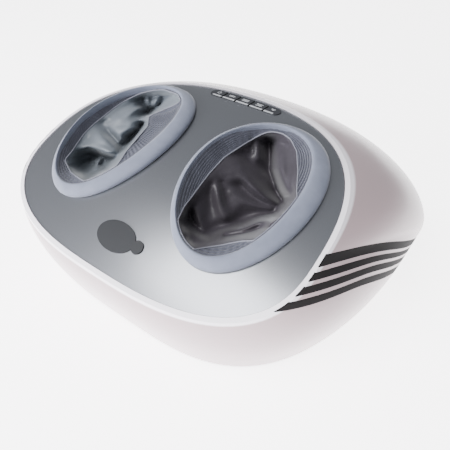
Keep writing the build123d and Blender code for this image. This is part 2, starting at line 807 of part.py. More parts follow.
pump = Box(pump_length, pump_width, pump_height)
pump = pump.moved(Location((0, pump_at, tray_top + pump_height / 2)))
pump_motor = Cylinder(pump_motor_radius, pump_motor_length)
pump_motor_middle = tray_top + pump_height + pump_motor_length / 2
pump += pump_motor.moved(Location((0, pump_at, pump_motor_middle)))
save("air_pump", pump)
valves = []
hoses = []
manifold = []
manifold_z = tray_top + manifold_height
valve_top = tray_top + valve_height


def hose(centre, direction, length):
    """Straight piece of air hose."""
    return rod(centre, direction, hose_radius, length) - rod(centre, direction, hose_bore, length * 2)


for side in sides.values():
    for across in (valve_inner_at, valve_outer_at):
        x = side * across
        valve = Box(valve_size, valve_size, valve_height)
        valves.append(valve.moved(Location((x, valves_at, tray_top + valve_height / 2))))
        bag_along = (valves_at + sole_front) / math.cos(math.radians(sole_tilt))
        tube = hose((x, valves_at, valve_top + tub_region / 2), (0, 0, 1), tub_region)
        tube -= sole_box(x, bag_along, -tub_drop, tub_region, tub_region, tub_region * 2)
        hoses.append(tube)
    first = (pump_length / 2 + valve_inner_at - valve_size / 2) / 2
    manifold.append(hose((side * first, valves_at, manifold_z), (1, 0, 0),
                         valve_inner_at - valve_size / 2 - pump_length / 2))
    second = (valve_inner_at + valve_outer_at) / 2
    manifold.append(hose((side * second, valves_at, manifold_z), (1, 0, 0),
                         valve_outer_at - valve_inner_at - valve_size))
save("air_valves", Compound(children=valves))
save("air_hoses", Compound(children=hoses))
save("air_manifold", Compound(children=manifold))

main_board = Box(main_board_length, main_board_width, board_thickness)
board_low = tray_top + standoff_height
main_board = main_board.moved(Location((0, main_board_at, board_low + board_thickness / 2)))
standoffs = []
for across in (-1, 1):
    for along in (-1, 1):
        x = across * (main_board_length / 2 - standoff_radius * 2)
        y = main_board_at + along * (main_board_width / 2 - standoff_radius * 2)
        post = Cylinder(standoff_radius, standoff_height)
        standoffs.append(post.moved(Location((x, y, tray_top + standoff_height / 2))))
chip_middle = board_low + board_thickness + standoff_height / 2
for share in chip_shares:
    chip = Box(chip_size, chip_size, standoff_height)
    main_board += chip.moved(Location((share * main_board_length, main_board_at, chip_middle)))
save("main_board", main_board)
save("board_standoffs", Compound(children=standoffs))

jack = jack_place * Cylinder(jack_radius, jack_length * 2) & body
flange_block = jack_place * Cylinder(jack_radius + jack_flange, jack_length * 2) & cavity
flange_cut = Box(wide, wide, wide).moved(Location((0, base_back - jack_length / 2 - wide / 2, 0)))
jack = jack - Box(wide, wide, wide).moved(Location((0, base_back - jack_length - wide / 2, 0)))
jack += flange_block - flange_cut
jack -= jack_place * Cylinder(jack_bore, jack_length)
jack += jack_place * Cylinder(jack_bore / 3, jack_length) & body - flange_cut
save("power_socket", jack)
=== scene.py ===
import math

import bmesh
import bpy
import numpy as np
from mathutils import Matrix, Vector


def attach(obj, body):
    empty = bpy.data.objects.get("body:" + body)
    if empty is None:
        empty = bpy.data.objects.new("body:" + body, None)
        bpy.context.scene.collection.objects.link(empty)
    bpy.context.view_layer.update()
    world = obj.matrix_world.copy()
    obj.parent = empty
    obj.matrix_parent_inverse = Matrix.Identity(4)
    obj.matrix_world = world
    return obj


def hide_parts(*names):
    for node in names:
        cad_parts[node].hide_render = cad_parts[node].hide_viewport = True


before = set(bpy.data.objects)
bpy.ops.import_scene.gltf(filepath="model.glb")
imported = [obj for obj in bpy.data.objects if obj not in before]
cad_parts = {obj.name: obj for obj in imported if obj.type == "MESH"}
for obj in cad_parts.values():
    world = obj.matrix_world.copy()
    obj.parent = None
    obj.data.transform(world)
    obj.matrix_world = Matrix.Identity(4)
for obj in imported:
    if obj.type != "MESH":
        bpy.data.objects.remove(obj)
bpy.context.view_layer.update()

MM = 0.001
TURN = 2 * math.pi

# Camera fitted to the outlines in the photograph: its place in metres, its aim and its lens in millimetres
CAMERA_AT = Vector((0.28665, -0.36746, 0.41045))
CAMERA_AIM = Vector((-0.4606, 0.6121, -0.6428))
CAMERA_SENSOR = 36
CAMERA_LENS = 37.97

# Panel frame and its curvature, in millimetres: u runs to the right on it and v towards the toes
PANEL_SETBACK = 98.4
PANEL_HEIGHT = 141.6
PANEL_TILT = math.radians(21.6)
ARCH_RADIUS = 394.0
CROSS_RADIUS = 1424.0
PANEL_ALONG = Vector((0, math.cos(PANEL_TILT), math.sin(PANEL_TILT)))
PANEL_NORMAL = Vector((0, -math.sin(PANEL_TILT), math.cos(PANEL_TILT)))

# Foot openings: an egg outline on the panel for each foot, in millimetres
SIDES = (("left", -1), ("right", 1))
RING_OFFSET = 85.0
RING_MIDDLE = 37.4
RING_HALF_LENGTH = 94.0
RING_HALF_WIDTH = 68.0
RING_LEAN = math.radians(4.0)
RING_EGG = 0.06

# Row of keys near the panel's far edge, in millimetres
KEYS_AT = 149.6
KEYS_PITCH = 19.0
KEY_PROUD = 0.9
KEYS_ANGLE = math.asin(KEYS_AT / ARCH_RADIUS)
KEYS_TILT = PANEL_TILT - KEYS_ANGLE
KEY_BODIES = ["power_key", "mode_key", "air_key", "heat_key", "timer_key"]


def panel_rise(u, v):
    """Height of the curved panel over its tangent plane."""
    arch = math.sqrt(ARCH_RADIUS ** 2 - v * v) - ARCH_RADIUS
    return arch - (CROSS_RADIUS - math.sqrt(CROSS_RADIUS ** 2 - u * u))


def on_panel(u, v, lift=0.0):
    """World point at lift over the curved panel, in metres."""
    n = panel_rise(u, v) + lift
    y = -PANEL_SETBACK + v * math.cos(PANEL_TILT) - n * math.sin(PANEL_TILT)
    z = PANEL_HEIGHT + v * math.sin(PANEL_TILT) + n * math.cos(PANEL_TILT)
    return Vector((u * MM, y * MM, z * MM))


def ring_uv(side, angle, inset):
    """Panel coordinates on the egg outline of a foot opening, drawn in by inset; angle 0 is the heel end."""
    along = -math.cos(angle)
    across = math.sin(angle) * (1 + RING_EGG * along)
    x = (RING_HALF_WIDTH - inset) * across
    y = (RING_HALF_LENGTH - inset) * along
    lean = side * RING_LEAN
    return (side * RING_OFFSET + x * math.cos(lean) - y * math.sin(lean),
            RING_MIDDLE + x * math.sin(lean) + y * math.cos(lean))


def new_piece(name, mesh, material, body):
    """Object of its own for a mesh that lies in world place, riding on a body."""
    piece = bpy.data.objects.new(name, mesh)
    bpy.context.scene.collection.objects.link(piece)
    piece.data.materials.append(material)
    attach(piece, body)
    return piece


def grid_faces(rows, columns, close_rows):
    """Quads between rows of points, each row closed on itself."""
    faces = []
    for i in range(rows if close_rows else rows - 1):
        for j in range(columns):
            a = i * columns + j
            b = i * columns + (j + 1) % columns
            c = ((i + 1) % rows) * columns + (j + 1) % columns
            d = ((i + 1) % rows) * columns + j
            faces.append((a, b, c, d))
    return faces


def soft_piece(name, points, rows, columns, material, close_rows=False):
    """Smooth soft piece through rows of world points."""
    mesh = bpy.data.meshes.new(name)
    mesh.from_pydata([tuple(p) for p in points], [], grid_faces(rows, columns, close_rows))
    mesh.validate()
    mesh.update()
    mesh.polygons.foreach_set("use_smooth", [True] * len(mesh.polygons))
    return new_piece(name, mesh, material, "machine_body")


def hash_noise(x, y, seed=0.0):
    """Smooth value noise from -1 to 1, with any large odd numbers to stir it."""
    def corner(i, j):
        value = math.sin(i * 127.1 + j * 311.7 + seed * 74.7) * 43758.5453
        return 2 * (value - math.floor(value)) - 1
    i, j = math.floor(x), math.floor(y)
    fx, fy = x - i, y - j
    fx, fy = fx * fx * (3 - 2 * fx), fy * fy * (3 - 2 * fy)
    low = corner(i, j) * (1 - fx) + corner(i + 1, j) * fx
    high = corner(i, j + 1) * (1 - fx) + corner(i + 1, j + 1) * fx
    return low * (1 - fy) + high * fy


def linear(code):
    """Linear colour from an sRGB hex code."""
    values = [int(code[i:i + 2], 16) / 255 for i in (1, 3, 5)]
    return [v / 12.92 if v <= 0.04045 else ((v + 0.055) / 1.055) ** 2.4 for v in values] + [1.0]


def surface(name, colour, roughness, metallic=0.0, more=None):
    """New material on its Principled shader; more holds other inputs of that shader."""
    material = bpy.data.materials.new(name)
    material.use_nodes = True
    shader = material.node_tree.nodes["Principled BSDF"]
    inputs = {"Base Color": linear(colour), "Roughness": roughness, "Metallic": metallic}
    inputs.update(more or {})
    for key, value in inputs.items():
        shader.inputs[key].default_value = value
    return material


def add_node(material, kind, inputs, **settings):
    """New node with its settings; each input is a value or another node's output."""
    tree = material.node_tree
    node = tree.nodes.new(kind)
    for key, value in settings.items():
        setattr(node, key, value)
    for key, value in inputs.items():
        if isinstance(value, bpy.types.NodeSocket):
            tree.links.new(value, node.inputs[key])
        else:
            node.inputs[key].default_value = value
    return node


def into_shader(material, output, key):
    """Link an output to an input of the material's shader."""
    shader = material.node_tree.nodes["Principled BSDF"]
    material.node_tree.links.new(output, shader.inputs[key])


def patches(material, size, detail):
    """Noise output on Object coordinates, with patches of a size in millimetres."""
    place = add_node(material, "ShaderNodeTexCoord", {})
    inputs = {"Vector": place.outputs["Object"], "Scale": 1 / (size * MM), "Detail": detail}
    return add_node(material, "ShaderNodeTexNoise", inputs).outputs["Fac"]


def shades(material, size, dark, light, detail=2.0):
    """Base colour that wanders between two hex codes, in patches of a size in millimetres."""
    inputs = {"Factor": patches(material, size, detail), "A": linear(dark), "B": linear(light)}
    mix = add_node(material, "ShaderNodeMix", inputs, data_type="RGBA")
    into_shader(material, mix.outputs["Result"], "Base Color")


def relief(material, size, depth, strength, detail):
    """Fine relief of a size and a depth in millimetres."""
    inputs = {"Height": patches(material, size, detail), "Distance": depth * MM, "Strength": strength}
    bump = add_node(material, "ShaderNodeBump", inputs)
    into_shader(material, bump.outputs["Normal"], "Normal")


# Gloss white ABS, injection moulded: a faint waviness 62.5 mm long softens what it mirrors
SHELL_WHITE = "#AC9A9D"
# Painted highlight along the shell's lip: its colour, and the heights over the curved panel, in millimetres,
# where it starts and where it is full
LIP_HIGHLIGHT_WHITE = "#EDE8EE"
LIP_HIGHLIGHT_FROM = -2.6
LIP_HIGHLIGHT_FULL = -1.2


def shell_with_lip_highlight():
    """The shell's finish, with a painted highlight that whitens the lip, which is found by its height over
    the curved panel.
    """
    more = {"Specular IOR Level": 0.25, "Coat Weight": 0.08, "Coat Roughness": 0.12}
    material = surface("shell_white", SHELL_WHITE, 0.26, more=more)
    relief(material, 62.5, 0.2, 0.3, 2.0)
    place = add_node(material, "ShaderNodeTexCoord", {}).outputs["Object"]
    panel_foot = Vector((0, -PANEL_SETBACK, PANEL_HEIGHT)) * MM
    reach = add_node(material, "ShaderNodeVectorMath", {0: place, 1: panel_foot}, operation="SUBTRACT")
    inputs = {0: reach.outputs["Vector"], 1: PANEL_ALONG}
    along = add_node(material, "ShaderNodeVectorMath", inputs, operation="DOT_PRODUCT").outputs["Value"]
    inputs = {0: reach.outputs["Vector"], 1: PANEL_NORMAL}
    lift = add_node(material, "ShaderNodeVectorMath", inputs, operation="DOT_PRODUCT").outputs["Value"]
    across = add_node(material, "ShaderNodeSeparateXYZ", {"Vector": place}).outputs["X"]
    for run, radius in ((along, ARCH_RADIUS), (across, CROSS_RADIUS)):
        square = add_node(material, "ShaderNodeMath", {0: run, 1: run}, operation="MULTIPLY")
        inputs = {0: square.outputs["Value"], 1: 1 / (2 * radius * MM), 2: lift}
        lift = add_node(material, "ShaderNodeMath", inputs, operation="MULTIPLY_ADD").outputs["Value"]
    # Painted highlight: the base colour turns to the lip's white over these heights
    inputs = {"Value": lift, "From Min": LIP_HIGHLIGHT_FROM * MM, "From Max": LIP_HIGHLIGHT_FULL * MM}
    fade = add_node(material, "ShaderNodeMapRange", inputs)
    inputs = {"Factor": fade.outputs["Result"], "A": linear(SHELL_WHITE), "B": linear(LIP_HIGHLIGHT_WHITE)}
    mix = add_node(material, "ShaderNodeMix", inputs, data_type="RGBA")
    into_shader(material, mix.outputs["Result"], "Base Color")
    return material


def lacquered_panel():
    """Metallic lacquer, silver-grey: flakes 0.25 mm apart under a clear coat."""
    more = {"Coat Weight": 0.3, "Coat Roughness": 0.2}
    material = surface("panel_lacquer", "#7E8085", 0.3, 0.85, more)
    shades(material, 0.25, "#74767B", "#888A8F", detail=0.0)
    return material


def knitted_ring():
    """Warp-knitted polyester, blue-grey: stitches 0.91 mm apart, and lint in patches 11.8 mm wide."""
    more = {"Sheen Weight": 0.35, "Sheen Roughness": 0.4}
    material = surface("ring_knit", "#6A6F7E", 0.85, more=more)
    shades(material, 11.8, "#606575", "#727786")
    relief(material, 0.91, 0.18, 0.6, 1.0)
    return material


def ribbed_elastic():
    """Woven elastic, dark grey: yarn grain of 0.5 mm, drawn in shade over 16.7 mm."""
    material = surface("elastic_rib", "#41424D", 0.8, more={"Sheen Weight": 0.2})
    shades(material, 16.7, "#343540", "#4E505C")
    relief(material, 0.5, 0.1, 0.5, 1.0)
    return material


def satin(name, dark, light):
    """Woven satin: a soft broad shine, a weave of 0.303 mm and shades 33.3 mm wide."""
    more = {"Specular IOR Level": 0.35, "Sheen Weight": 0.3, "Sheen Roughness": 0.35}
    material = surface("lining_satin_" + name, dark, 0.42, more=more)
    shades(material, 33.3, dark, light)
    relief(material, 0.303, 0.04, 0.4, 0.0)
    return material


def textured_tray():
    """Moulded ABS, matt grey: a spark texture of 0.8 mm."""
    material = surface("tray_grey", "#6F7072", 0.7)
    relief(material, 0.8, 0.1, 0.4, 1.0)
    return material


shell_mat = shell_with_lip_highlight()
panel_mat = lacquered_panel()
knit_mat = knitted_ring()
rib_mat = ribbed_elastic()
tray_mat = textured_tray()
# The same satin in two copies: the left one painted lighter as a painted reflection of the bright
# surroundings, the right one painted darker as painted shade
satin_lit_and_shaded = {"left": satin("left", "#5C6167", "#71777E"), "right": satin("right", "#312E32", "#454148")}
# Satin piping along each lining's edge, lighter than the cloth
piping_mat = surface("edge_piping", "#6E6F7A", 0.6, more={"Sheen Weight": 0.3})
# Matt moulded stripes, nearly black: dull lines on the gloss shell
stripe_mat = surface("stripe_dark", "#0E0B0C", 0.75, more={"Specular IOR Level": 0.2})
# Moulded slate plate and the smoked acrylic window at its end, both of low gloss on the bright panel
plate_mat = surface("plate_slate", "#1D1E21", 0.6, more={"Specular IOR Level": 0.3})
window_mat = surface("window_smoke", "#191A1D", 0.5, more={"Specular IOR Level": 0.3})
# Dark moulded keys with a satin face, and silver print that stands out on them
key_mat = surface("key_dark", "#2C2D31", 0.5)
silver_mat = surface("key_silver", "#C9CACD", 0.35, 0.3)
# Matt mouldings: grey ones inside, and the black collars and socket
inner_mat = surface("inner_grey", "#A9AAAC", 0.55)
black_mat = surface("black_matt", "#1B1B1D", 0.6)
# Moulded rubber feet, dull black
rubber_mat = surface("foot_rubber", "#222224", 0.85)
# Metals, each as bright as its cut: ground steel, turned bronze and pressed iron
steel_mat = surface("steel_ground", "#A8A9AC", 0.3, 1.0)
bronze_mat = surface("bronze_turned", "#B58A4A", 0.35, 1.0)
iron_mat = surface("rotor_iron", "#55565A", 0.5, 0.8)
# Cut nylon wheels, cream and half matt, and dark moulded rollers
nylon_mat = surface("gear_nylon", "#E4E0D4", 0.45)
roller_mat = surface("roller_dark", "#3B3C40", 0.5)
# Glossy films: coated nylon round the air, and amber polyimide over the heaters
film_mat = surface("airbag_film", "#4A4B50", 0.35)
heater_mat = surface("heater_amber", "#B8702C", 0.3)
# Green glass laminate of the boards, and pale PVC hose
board_mat = surface("board_green", "#1E5A32", 0.4)
hose_mat = surface("hose_clear", "#C4C4BE", 0.3)

NODE_FINISHES = [
    (shell_mat, ["upper_shell"]),
    (stripe_mat, ["side_stripes_left", "side_stripes_right"]),
    (panel_mat, ["top_panel"]),
    (plate_mat, ["oval_plate"]),
    (window_mat, ["receiver_window"]),
    (knit_mat, ["padded_ring_left", "padded_ring_right"]),
    (rib_mat, ["elastic_band_left", "elastic_band_right"]),
    (satin_lit_and_shaded["left"], ["foot_liner_left"]),
    (satin_lit_and_shaded["right"], ["foot_liner_right"]),
    (film_mat, ["airbags_left", "airbags_right"]),
    (heater_mat, ["heating_pad_left", "heating_pad_right"]),
    (inner_mat, ["foot_tub_left", "foot_tub_right", "drive_cradle", "key_carrier", "air_pump", "air_valves",
                 "board_standoffs"]),
    (black_mat, ["ring_collar_left", "ring_collar_right", "power_socket"]),
    (steel_mat, ["motor_straps", "motor_case", "motor_shaft", "heel_shaft", "toe_shaft", "shell_screws"]),
    (bronze_mat, ["shaft_bushes", "motor_bearings", "heel_worm", "toe_worm"]),
    (iron_mat, ["motor_rotor"]),
    (nylon_mat, ["heel_wheel", "toe_wheel"]),
    (roller_mat, ["heel_roller_left", "heel_roller_right", "toe_roller_left", "toe_roller_right"]),
    (key_mat, ["key_power", "key_mode", "key_air", "key_heat", "key_timer"]),
    (board_mat, ["control_board", "main_board"]),
    (tray_mat, ["base_tray"]),
    (rubber_mat, ["rubber_feet"]),
    (hose_mat, ["air_hoses", "air_manifold"]),
]
for material, names in NODE_FINISHES:
    for name in names:
        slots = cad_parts[name].data.materials
        slots.clear()
        slots.append(material)

# Padded rings: a soft band, highest at its inner edge, that falls outwards to a steep foot.
# Each place on its section is an inset from the opening's outline and a height over the panel
RING_STEPS = 176
PAD_PROFILE = [(1.2, 0.15), (0.5, 0.8), (0.1, 2.0), (0.2, 3.6), (0.9, 5.2), (2.2, 6.6), (4.0, 7.8),
               (6.2, 8.7), (8.6, 9.3), (10.8, 9.6), (12.3, 9.3), (13.3, 8.3), (13.8, 6.8), (14.0, 4.0),
               (13.8, 1.4), (13.2, 0.2)]
PAD_SEAT = 0.12
# Unevenness of the pads above their foot: its height, and how close its waves are round and across them
PAD_FOOT = 1
PAD_SLACK = 0.3
PAD_WAVES_ROUND = 4
PAD_WAVES_ACROSS = 0.3
# Width of the pads, as a share: its mean, how much it grows on the right of each opening and shrinks on the
# left, and how much it shrinks at both ends
PAD_WIDTH = 0.94
PAD_RIGHT = 0.42
PAD_ENDS = 0.14
# Inner edge of the pads, where the elastic starts
RING_INSET = 13.3
RING_TOP = 8.2


def pad_inset(angle, inset):
    """Inset of the pad's section at a turn round the ring, where it is wider or narrower."""
    width = PAD_WIDTH + PAD_RIGHT * math.sin(angle) - PAD_ENDS * math.cos(angle) ** 2
    return inset * (1 + (width - 1) * min(inset / RING_INSET, 1))


def padded_ring(name, side):
    """Cover of one padded ring, a little uneven above its foot."""
    points = []
    for inset, lift in PAD_PROFILE:
        for step in range(RING_STEPS):
            angle = TURN * step / RING_STEPS
            slack = 0
            if lift > PAD_FOOT:
                slack = PAD_SLACK * hash_noise(angle * PAD_WAVES_ROUND, inset * PAD_WAVES_ACROSS, side)
            u, v = ring_uv(side, angle, pad_inset(angle, inset))
            points.append(on_panel(u, v, max(lift + slack, PAD_SEAT)))
    ring = soft_piece("ring_cover_" + name, points, len(PAD_PROFILE), RING_STEPS, knit_mat, close_rows=True)
    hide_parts("padded_ring_" + name)
    return ring


# Edge of each lining in panel coordinates, inside the ring, read off the photograph
LINING_EDGE = {
    "right": [(46, 108), (41, 85), (36, 62), (36, 37), (38, 4), (38, -8), (42, -26), (54, -38), (71, -42),
              (80, -35), (93, -25), (102, -17), (108, -12), (122, -3), (129, 6), (133, 17), (135, 32),
              (134, 42), (122, 60), (109, 84), (93, 108), (77, 122), (65, 126), (54, 123), (49, 117)],
    "left": [(-143, 53), (-144, 41), (-143, 22), (-136, -4), (-135, -18), (-113, -28), (-97, -30),
             (-83, -31), (-75, -18), (-64, -17), (-63, -12), (-65, 7), (-68, 20), (-70, 38), (-74, 63),
             (-86, 78), (-82, 93), (-75, 108), (-75, 121), (-90, 132), (-116, 134), (-128, 126),
             (-137, 113), (-143, 85)],
}
# Folds and valleys of the cloth, one line each: u and v at the edge's level, and how far the cloth lies
# beyond that place, measured away from the camera. The pockets lean back under their left sides
LINING_DEPTH = {
    "right": [
        [(49, 59, 10), (66, 49, 21), (84, 42, 33), (101, 37, 46), (113, 38, 57)],
        [(71, 41, 34), (90, 34, 48), (106, 33, 57), (116, 36, 64)],
        [(48, 78, 16), (60, 72, 27), (73, 66, 38), (90, 59, 56), (106, 52, 67)],
        [(43, 72, 7), (58, 65, 20), (72, 57, 31), (88, 50, 44), (102, 44, 57)],
        [(45, 42, 8), (52, 38, 15), (60, 36, 22)],
        [(68, 28, 29), (88, 25, 42), (103, 27, 52), (117, 32, 60)],
        [(44, 32, 8), (49, 30, 12), (59, 20, 18), (71, 9, 29), (82, 1, 37)],
        [(54, 34, 21), (62, 26, 28), (72, 17, 36), (84, 8, 43)],
        [(43, 22, 8), (46, 12, 13), (54, 2, 21), (64, -8, 31), (72, -16, 36)],
        [(46, 26, 14), (52, 16, 22), (62, 4, 31), (74, -8, 39)],
        [(42, 4, 6), (45, -2, 11), (56, -12, 22), (70, -20, 30)],
        [(80, -16, 40), (89, -7, 43), (99, 2, 47), (108, 16, 52), (118, 26, 58), (124, 34, 62)],
        [(83, -20, 22), (91, -11, 19), (101, -2, 19), (110, 12, 21), (120, 22, 22), (128, 31, 23)],
        [(92, -15, 26), (103, -7, 27), (113, 4, 28), (123, 14, 28), (129, 24, 26)],
        [(86, -22, 9), (93, -18, 10), (103, -10, 6), (112, -3, 5), (123, 6, 4), (129, 14, 4), (132, 24, 5)],
        [(39, -4, 7), (44, -10, 22), (52, -15, 31), (62, -20, 33), (73, -23, 33), (80, -22, 30)],
        [(43, -20, 4), (50, -24, 7), (60, -28, 8), (71, -29, 9), (81, -27, 9)],
        [(58, -34, 4), (69, -35, 4), (76, -32, 4)],
        [(77, 112, 4), (92, 92, 7), (105, 73, 8), (119, 58, 7), (129, 44, 6)],
        [(68, 109, 13), (80, 92, 14), (91, 76, 15), (103, 64, 16), (113, 56, 15), (121, 51, 14),
         (129, 40, 13)],
        [(63, 106, 32), (75, 88, 46), (86, 72, 55), (99, 59, 61), (109, 51, 66), (117, 46, 68),
         (124, 38, 66)],
        [(54, 110, 16), (58, 102, 26), (66, 93, 36), (74, 82, 44), (80, 74, 50)],
        [(50, 104, 6), (54, 95, 11), (60, 86, 19), (68, 77, 29)],
        [(46, 96, 8), (50, 88, 18), (56, 82, 24)],
        [(44, 86, 7), (50, 82, 13)]],
    "left": [
        [(-133, 55, 5), (-128, 73, 6), (-124, 93, 7)],
        [(-118, 60, 9), (-112, 72, 10), (-110, 86, 14)],
        [(-109, 49, 17), (-97, 59, 20), (-95, 68, 26)],
        [(-90, 46, 29), (-86, 56, 33)],
        [(-82, 69, 50), (-77, 54, 50), (-74, 42, 51), (-72, 32, 50), (-70, 26, 46)],
        [(-134, 49, 9), (-119, 45, 15), (-102, 39, 24), (-86, 32, 35)],
        [(-130, 41, 12), (-120, 39, 22), (-105, 33, 34), (-87, 27, 45), (-74, 22, 52)],
        [(-131, 33, 6), (-116, 29, 8), (-104, 27, 13), (-90, 23, 21), (-80, 19, 28)],
        [(-132, 19, 6), (-116, 18, 7), (-100, 18, 12), (-88, 17, 18)],
        [(-133, 9, 5), (-122, 11, 8), (-108, 13, 11)],
        [(-130, -4, 8), (-126, 2, 11), (-118, 8, 12), (-103, 10, 14), (-87, 10, 19), (-77, 13, 24),
         (-72, 15, 28)],
        [(-125, -8, 25), (-120, -2, 38), (-112, 3, 46), (-100, 4, 52), (-86, 5, 54), (-76, 8, 52)],
        [(-109, -14, 43), (-94, -10, 58), (-82, -4, 57), (-74, -8, 46)],
        [(-92, 1, 47), (-90, -4, 38), (-86, -11, 36), (-82, -16, 36)],
        [(-122, -21, 8), (-106, -25, 14), (-94, -26, 15), (-84, -25, 10), (-78, -16, 10), (-69, -13, 12)],
        [(-128, 106, 10), (-120, 100, 18), (-112, 95, 28), (-98, 87, 46)],
        [(-116, 112, 9), (-108, 103, 20), (-98, 94, 36)],
        [(-104, 121, 9), (-97, 111, 24), (-93, 102, 40)],
        [(-90, 82, 58), (-92, 92, 48)],
        [(-122, 110, 3), (-112, 103, 8), (-104, 96, 22)],
        [(-111, 119, 3), (-104, 110, 8), (-97, 100, 22)],
        [(-97, 124, 3), (-90, 112, 7), (-84, 99, 10), (-82, 90, 8)],
        [(-80, 102, 5), (-79, 96, 6)]],
}
LINING_CENTRE = {"right": (85.0, 37.0), "left": (-105.0, 50.0)}
# The cloth's edge lies below the panel's level and clear of the ring; the band falls steeply to it
EDGE_DEPTH = 8.5
EDGE_CLEAR = 1.6
BAND_SLOPE = 1.1
BAND_DROP = 1.5
# Steps round the openings and down the cloth, and how far the outlines' corners are rounded, in half degrees
EDGE_STEPS = 240
RING_ROUNDING = 1
CLOTH_ROUNDING = 5
LINING_ROWS = 90
LINING_STEPS = 300
# Cloth between the lines: the smallest radius of a fold, how freely it passes beside a line, and the step
# between places on a line
FOLD_RADIUS = 2.5
FOLD_GIVE = 1.2
LINE_STEP = 4
# Hem just inside the cloth's edge: how far in it lies and how far it falls
HEM_WIDTH = 1.5
HEM_FALL = 1.0
# Creases: width, height and seed of the broad ones and of the fine ones, which start over the first twelfth
# of the way in
BROAD_CREASE = (15, 0.5, 0)
FINE_CREASE = (6, 0.2, 3)
CREASE_START = 12
# Piping: its radius, how far it stands over the cloth's edge, how unevenly it is sewn, and any direction that
# its path never takes
PIPING_RADIUS = 0.6
PIPING_SIDES = 8
PIPING_PROUD = 0.5
PIPING_WANDER = 0.3
PIPING_WAVES = 0.3
PIPING_SEED = 2.0
OFF_PATH = Vector((0.1, -0.3, 1.0))
# Share of a sight line's length that goes square to the panel, and rounds to find where one meets a level
SIGHT_FALL = -CAMERA_AIM.dot(PANEL_NORMAL)
LEVEL_ROUNDS = 12
# Points on each stretch of an outline, and even turns of half a degree round it
STRETCH_POINTS = 12
HALF_DEGREES = 720


def wrapped(turn):
    """Angle brought between minus and plus half a turn."""
    return (turn + math.pi) % TURN - math.pi


def polar(outline, centre, rounding):
    """Radius of a closed outline about a centre, as a smooth periodic function of the angle."""
    pairs = []
    for (u0, v0), (u1, v1) in zip(outline, outline[1:] + outline[:1]):
        for k in range(STRETCH_POINTS):
            x = u0 + (u1 - u0) * k / STRETCH_POINTS - centre[0]
            y = v0 + (v1 - v0) * k / STRETCH_POINTS - centre[1]
            pairs.append((math.atan2(y, x), math.hypot(x, y)))
    angles, radii = np.array(sorted(pairs)).T
    even = np.linspace(-math.pi, math.pi, HALF_DEGREES + 1)[:-1]
    values = np.interp(even, angles, radii, period=TURN)
    kernel = np.hanning(2 * rounding + 3)
    kernel /= kernel.sum()
    reach = rounding + 1
    values = np.convolve(np.concatenate([values[-reach:], values, values[:reach]]), kernel, mode="valid")
    return lambda turn: float(np.interp(wrapped(turn), even, values, period=TURN))


def below_edge(u, v, depth):
    """World point at a depth beyond the edge's level, along the pocket's lean; depth in millimetres."""
    start = on_panel(u, v, -EDGE_DEPTH)
    return start + (start - CAMERA_AT).normalized() * depth * MM


def at_edge_level(point):
    """Panel coordinates where the lean through a world point meets the edge's level, and the way to it."""
    start = point
    run = (point - CAMERA_AT).normalized()
    for _ in range(LEVEL_ROUNDS):
        y, z = point.y / MM + PANEL_SETBACK, point.z / MM - PANEL_HEIGHT
        u, v = point.x / MM, y * math.cos(PANEL_TILT) + z * math.sin(PANEL_TILT)
        high = z * math.cos(PANEL_TILT) - y * math.sin(PANEL_TILT) - panel_rise(u, v) + EDGE_DEPTH
        point = point + run * (high / SIGHT_FALL) * MM
    return u, v, (point - start).length / MM


def depth_field(lines, edge):
    """Smooth depth over a lining: lines of places and depths, and the edge with its own depths."""
    samples = list(edge)
    for line in lines:
        samples.append(line[0])
        for first, last in zip(line[:-1], line[1:]):
            first, last = np.array(first, float), np.array(last, float)
            count = max(int(np.linalg.norm((last - first)[:2]) / LINE_STEP), 1)
            samples += [tuple(first + (last - first) * (k + 1) / count) for k in range(count)]
    samples = np.array(samples, float)
    places, depths = samples[:, :2], samples[:, 2]

    def kernel(first, second):
        gap = first[:, None, :] - second[None, :, :]
        return -np.sqrt((gap ** 2).sum(axis=2) + FOLD_RADIUS ** 2)

    count = len(places)
    matrix = np.ones((count + 1, count + 1))
    matrix[:count, :count] = kernel(places, places) + FOLD_GIVE * np.eye(count)
    matrix[count, count] = 0
    weights = np.linalg.solve(matrix, np.append(depths, 0))
    return lambda where: kernel(where, places) @ weights[:count] + weights[count]


class Opening:
    """Inner edge of a padded ring and the cloth's edge inside it, by the turn about the lining's centre."""

    def __init__(self, name, side):
        self.name = name
        self.side = side
        self.centre = LINING_CENTRE[name]
        inner_edge = []
        for step in range(EDGE_STEPS):
            angle = TURN * step / EDGE_STEPS
            u, v = ring_uv(side, angle, pad_inset(angle, RING_INSET))
            inner_edge.append(at_edge_level(on_panel(u, v, RING_TOP)))
        self.ring_at = polar([(u, v) for u, v, _ in inner_edge], self.centre, RING_ROUNDING)
        self.cloth_at = polar(LINING_EDGE[name], self.centre, CLOTH_ROUNDING)
        lifts = [(math.atan2(v - self.centre[1], u - self.centre[0]), lift) for u, v, lift in inner_edge]
        self.turns, self.lifts = np.array(sorted(lifts)).T

    def ring_lift(self, turn):
        """Height of the ring's inner edge over the cloth's edge."""
        return float(np.interp(wrapped(turn), self.turns, self.lifts, period=TURN))

    def edge_at(self, turn):
        """Radius of the cloth's edge."""
        return min(self.cloth_at(turn), self.ring_at(turn) - EDGE_CLEAR)

    def edge_lift(self, turn):
        """Height of the cloth's edge over its level, where the band is too narrow to fall that far."""
        fall = (self.ring_at(turn) - self.edge_at(turn)) * BAND_SLOPE + BAND_DROP
        return max(self.ring_lift(turn) - fall, 0)

    def place(self, turn, radius, depth):
        """Panel coordinates and depth at a turn and a radius."""
        return (self.centre[0] + math.cos(turn) * radius, self.centre[1] + math.sin(turn) * radius, depth)


